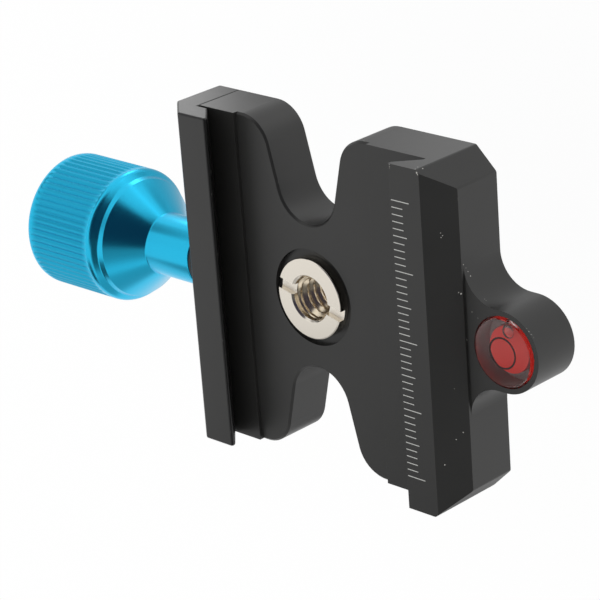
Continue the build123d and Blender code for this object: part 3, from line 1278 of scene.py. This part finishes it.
@dataclass
class Level:
    """The round level: a clear block with a red pool, an air bubble and a target ring."""

    frame: dict
    centre_x: float = 34.6
    radius: float = 5.0
    foot: float = 1.9
    top: float = 8.0
    gap: float = 0.17
    foot_gap: float = 0.04
    edge: float = 0.14
    foot_rounding: float = 0.1
    wall_rounding: float = 0.05
    top_rounding: float = 0.08
    block_segments: int = 128
    block_crease: float = 30.0
    wall_tolerance: float = 0.02
    wall_tilt: float = 0.3
    bubble: tuple[float, float, float] = (0.42, 2.85, 1.45)
    bubble_radius: float = 0.95
    bubble_half_height: float = 0.3
    bubble_steps: int = 16
    bubble_segments: int = 48
    pool_radius: float = 3.3
    pool_depth: float = 2.6
    pool_gap: float = 0.3
    lining_depth: float = 1.3
    lining_inside: float = 0.02
    lining_outside: float = 0.09
    lining_foot: float = 0.01
    lining_floor: float = 0.03
    segments: int = 96
    acrylic: Finish = ACRYLIC
    turned: Finish = TURNED_ACRYLIC
    pool: Finish = RED_POOL
    well: Finish = WELL
    ink: Finish = RING_INK

    @property
    def middle(self) -> Vector:
        """The foot of the level's axis."""
        return Vector((self.centre_x, 0, 0))

    def make_block(self) -> None:
        """Makes the clear block with the bubble in it, which is a hollow with its faces inwards."""
        foot, wall = self.foot + self.foot_gap, self.radius - self.gap
        outline = rounded(
            [
                (foot, 0.0, 0),
                (foot, wall, self.foot_rounding),
                (self.top - self.edge, wall, self.wall_rounding),
                (self.top, wall - self.edge, self.top_rounding),
                (self.top, 0.0, 0),
            ]
        )
        block = lathe("clear_block", outline, self.block_segments, self.middle)
        angles = [pi * step / self.bubble_steps for step in range(self.bubble_steps + 1)]
        outline = [(self.bubble_half_height * cos(a), self.bubble_radius * sin(a)) for a in angles]
        aside, back, down = self.bubble
        place = self.middle + Vector((aside, back, self.top - down))
        air = lathe("air", outline, self.bubble_segments, place)
        air.data.flip_normals()
        join(block, air)
        smooth(block, self.block_crease)
        dressed(block, self.acrylic, self.turned)
        for face in block.data.polygons:
            out = (face.center / MM - self.middle).xy.length
            if out > wall - self.wall_tolerance and abs(face.normal.z) < self.wall_tilt:
                face.material_index = 1
        declared(block, Body.BASE, Slot.ACRYLIC, "level_housing", "level_liquid", "level_bubble")

    def make_pool(self) -> None:
        """Makes the red disc that shows through the block."""
        floor, foot = self.top - self.pool_depth, self.foot + self.pool_gap
        outline = rounded(
            [
                (foot, 0.0, 0),
                (foot, self.pool_radius, 0),
                (floor, self.pool_radius, self.top_rounding),
                (floor, 0.0, 0),
            ]
        )
        disc = smooth(lathe("red_pool", outline, self.segments, self.middle))
        dressed(disc, self.pool)
        declared(disc, Body.BASE, Slot.PLUG, "level_plug")

    def make_lining(self) -> None:
        """Makes the thin cup of glue between the block and its bore."""
        rim = self.top - self.lining_depth
        foot, floor = self.foot + self.lining_foot, self.foot + self.lining_floor
        inside, outside = self.radius + self.lining_inside, self.radius + self.lining_outside
        outline = [
            (rim, inside),
            (rim, outside),
            (foot, outside),
            (foot, 0.0),
            (floor, 0.0),
            (floor, inside),
            (rim, inside),
        ]
        lining = smooth(lathe("glue_line", outline, self.segments, self.middle))
        dressed(lining, self.well)
        declared(lining, Body.BASE, Slot.PRINT)

    def build(self) -> None:
        """Makes the block with its bubble, the pool and the lining, and inks the ring."""
        self.make_block()
        self.make_pool()
        self.make_lining()
        carried_over(self.frame, "level_target_ring", self.ink)


@dataclass
class Spring:
    """One opening spring, held by the body at one end and pushed along by the jaw at the other."""

    side: Side
    at_y: float
    height: float = 4.2
    body_end: float = -12.53
    jaw_end: float = -20.12
    radius: float = 1.75
    wire: float = 0.25
    turns: float = 6.5
    crease: float = 60.0
    steel: Finish = STEEL

    def build(self) -> None:
        """Coils the wire and lets it stretch between the body and the jaw."""
        seed = mesh_object(f"coil_spring_{self.side.value}", [Vector((0, 0, 0))], [])
        length = self.body_end - self.jaw_end - 2 * self.wire
        spring = coil_along_x(self.radius, self.wire, length, self.turns).run(seed, self.steel)
        start = Vector((self.jaw_end + self.wire, self.at_y, self.height)) * MM
        spring.data.transform(Matrix.Translation(start))
        smooth(spring, self.crease)
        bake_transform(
            spring,
            Body.BASE.value,
            Body.JAW.value,
            start=(self.body_end * MM, self.at_y * MM, self.height * MM),
            end=(self.jaw_end * MM, self.at_y * MM, self.height * MM),
        )
        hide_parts(f"opening_spring_{self.side.value}")
        log.info("%s stretches between the body and the jaw", spring.name)


@dataclass(frozen=True)
class Card:
    """A round card that hangs round the object, in millimetres from the frame's origin.

    Its core is the share of its radius that covers fully, and its level is how bright it is, where
    1 is white.
    """

    name: str
    middle: tuple[float, float, float]
    radius: float
    core: float
    level: float
    colour: str = "#ffffff"
    floor_zone: float = -40.0
    sides: int = 64

    @property
    def flat(self) -> bool:
        """Whether the card lies on the floor."""
        return self.middle[2] < self.floor_zone


@dataclass
class Studio:
    """A white tent with a dark opening round the lens, a pale floor and the photograph's camera."""

    eye: Vector = field(default_factory=lambda: Vector((260.818, 147.304, 268.136)) * MM)
    azimuth: float = 0.791146
    elevation: float = 0.380771
    roll: float = -0.076131
    focal_px: float = 2849.61
    frame_px: float = 600.0
    sensor_width: float = 36.0
    nearest_m: float = 0.01
    farthest_m: float = 100.0
    floor_height: float = -45.0
    floor_size: float = 6000.0
    floor_glow: float = 0.92
    floor_glow_in_metal: float = 0.5
    tent_level: float = 0.9
    # Placed so that each face of the object reflects about what it does in the photograph.
    cards: tuple[Card, ...] = (
        Card("lens_opening", (194, 250, 369), 480, 0.7, 0.08, "#cdc6ea"),
        Card("right_opening", (400, -175, 290), 380, 0.5, 0.1),
        Card("left_fold", (-378, 345, 90), 160, 0.35, 0.45),
        Card("left_lamp", (-378, 175, 310), 150, 0.3, 0.85),
        Card("front_flag", (40, -300, 60), 160, 0.5, 0.5),
        Card("low_flag", (-93, -178, 157), 106, 0.45, 0.05),
        Card("jaw_flag", (-152, -135, 150), 48, 0.4, 0.35),
        Card("floor_glint", (16, 140, -44), 38, 0.3, 1.5),
        Card("cone_shade", (-30, 27, -19), 9, 0.4, 0.45),
        Card("floor_flag", (-50, 17, -44), 39, 0.55, 0.58),
        Card("end_glint", (-51, 41, -18), 11, 0.4, 2.9),
        Card("right_glint", (1, 43, -23), 18, 0.3, 1.3),
        Card("floor_dark", (-8, -74, -43.5), 24, 0.3, 0.3),
        Card("back_fold", (-322, 300, 150), 95, 0.4, 0.3),
    )

    def camera(self) -> None:
        """Sets the camera that was fitted to the photograph."""
        toward = Vector(
            (
                sin(self.azimuth) * cos(self.elevation),
                sin(self.elevation),
                cos(self.azimuth) * cos(self.elevation),
            )
        )
        right = (-toward).cross(Vector((0, 1, 0))).normalized()
        down = (-toward).cross(right)
        turned_right = right * cos(self.roll) - down * sin(self.roll)
        turned_down = right * sin(self.roll) + down * cos(self.roll)
        lens = bpy.data.cameras.new("camera")
        lens.sensor_width = self.sensor_width
        lens.lens = self.focal_px / self.frame_px * self.sensor_width
        lens.clip_start, lens.clip_end = self.nearest_m, self.farthest_m
        camera = bpy.data.objects.new("camera", lens)
        bpy.context.scene.collection.objects.link(camera)
        basis = Matrix((turned_right, -turned_down, toward)).transposed()
        camera.matrix_world = Matrix.Translation(self.eye) @ basis.to_4x4()
        bpy.context.scene.camera = camera

    def tent(self) -> None:
        """Lights the object from a white tent, whose cloth is a little darker in metal."""
        world = bpy.data.worlds.new("white_tent")
        world.use_nodes = True
        tree = world.node_tree
        path = add(tree, "ShaderNodeLightPath")
        inputs = {"Value": path.outputs["Is Glossy Ray"], "To Min": 1.0, "To Max": self.tent_level}
        level = add(tree, MAP_RANGE, inputs)
        cloth = {"Color": (1.0, 1.0, 1.0, 1.0), "Strength": level.outputs["Result"]}
        feed(tree, tree.nodes["Background"], cloth)
        bpy.context.scene.world = world

    @staticmethod
    def blank_material(name: str) -> Material:
        """Starts a material whose tree is empty.

        Args:
            name: the material's name.

        Returns:
            The material.
        """
        material = bpy.data.materials.new(name)
        material.use_nodes = True
        material.node_tree.nodes.clear()
        return material

    def hang(self, card: Card) -> None:
        """Hangs a round card that only reflections see, soft at its rim.

        Args:
            card: where it hangs and how bright it is.
        """
        name, radius, middle = card.name, card.radius * MM, Vector(card.middle) * MM
        disc = bpy.data.objects.new(name, bpy.data.meshes.new(name))
        bpy.context.scene.collection.objects.link(disc)
        with editing(disc) as work:
            bmesh.ops.create_circle(work, cap_ends=True, segments=card.sides, radius=radius)
        facing = Vector((0, 0, 1)) if card.flat else -middle
        turn = facing.to_track_quat("Z", "Y").to_matrix().to_4x4()
        disc.matrix_world = Matrix.Translation(middle) @ turn
        material = self.blank_material(name)
        tree = material.node_tree
        place = add(tree, COORDINATES).outputs["Object"]
        reach = add(tree, VECTOR_MATH, {0: place}, operation="LENGTH")
        inputs = {
            "Value": reach.outputs["Value"],
            "From Min": radius * card.core,
            "From Max": radius,
            "To Min": 1.0,
            "To Max": 0.0,
        }
        cover = add(tree, MAP_RANGE, inputs, interpolation_type="SMOOTHSTEP")
        clear = add(tree, "ShaderNodeBsdfTransparent")
        light = {"Color": linear(card.colour), "Strength": card.level}
        shade = add(tree, "ShaderNodeEmission", light)
        inputs = {0: cover.outputs["Result"], 1: clear.outputs[0], 2: shade.outputs[0]}
        blend = add(tree, "ShaderNodeMixShader", inputs)
        add(tree, "ShaderNodeOutputMaterial", {"Surface": blend.outputs[0]})
        disc.data.materials.append(material)
        disc.visible_camera = False
        disc.visible_shadow = False
        disc.visible_diffuse = False
        disc.visible_transmission = False

    def floor(self) -> None:
        """Lays the pale floor, which shows white and keeps a soft shadow."""
        half = self.floor_size / 2
        signs = ((-1, -1), (1, -1), (1, 1), (-1, 1))
        corners = [Vector((x * half, y * half, self.floor_height)) for x, y in signs]
        floor = mesh_object("floor", corners, [(0, 1, 2, 3)])
        material = self.blank_material("pale_floor")
        tree = material.node_tree
        path = add(tree, "ShaderNodeLightPath").outputs
        rays = {0: path["Is Camera Ray"], 1: path["Is Transmission Ray"]}
        seen = add(tree, MATH, rays, operation="MAXIMUM")
        straight, mirrored = (
            add(tree, MATH, {0: ray, 1: glow}, operation="MULTIPLY").outputs[0]
            for ray, glow in (
                (seen.outputs[0], self.floor_glow),
                (path["Is Glossy Ray"], self.floor_glow_in_metal),
            )
        )
        share = add(tree, MATH, {0: straight, 1: mirrored}, operation="MAXIMUM")
        paint = add(tree, "ShaderNodeBsdfDiffuse", {"Color": linear("#fbfbfb")})
        glow = add(tree, "ShaderNodeEmission", {"Color": (1.0, 1.0, 1.0, 1.0), "Strength": 1.0})
        inputs = {0: share.outputs[0], 1: paint.outputs[0], 2: glow.outputs[0]}
        blend = add(tree, "ShaderNodeMixShader", inputs)
        add(tree, "ShaderNodeOutputMaterial", {"Surface": blend.outputs[0]})
        floor.data.materials.append(material)

    def build(self) -> None:
        """Sets up the camera, the tent, its cards and the floor."""
        self.camera()
        self.tent()
        for card in self.cards:
            self.hang(card)
        self.floor()
        bpy.context.scene.view_settings.view_transform = "Standard"


def main() -> None:
    logging.basicConfig(level=logging.INFO, format="%(name)s: %(message)s")
    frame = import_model()
    Studio().build()
    MilledBar(frame, "milled_body", "clamp_body", Body.BASE, CHIPPED_BLACK, end_break=0.2).build()
    MilledBar(frame, "milled_jaw", "moving_jaw", Body.JAW, BLACK, end_break=0.3).build()
    Knob(frame).build()
    Bushing().build()
    Level(frame).build()
    for side, at_y in ((Side.FRONT, -PIN_SPREAD), (Side.BACK, PIN_SPREAD)):
        Spring(side, at_y).build()
        carried_over(frame, f"guide_pin_{side.value}", STEEL)
    carried_over(frame, "scale_marks", MARK_INK)


if __name__ == "__main__":
    main()
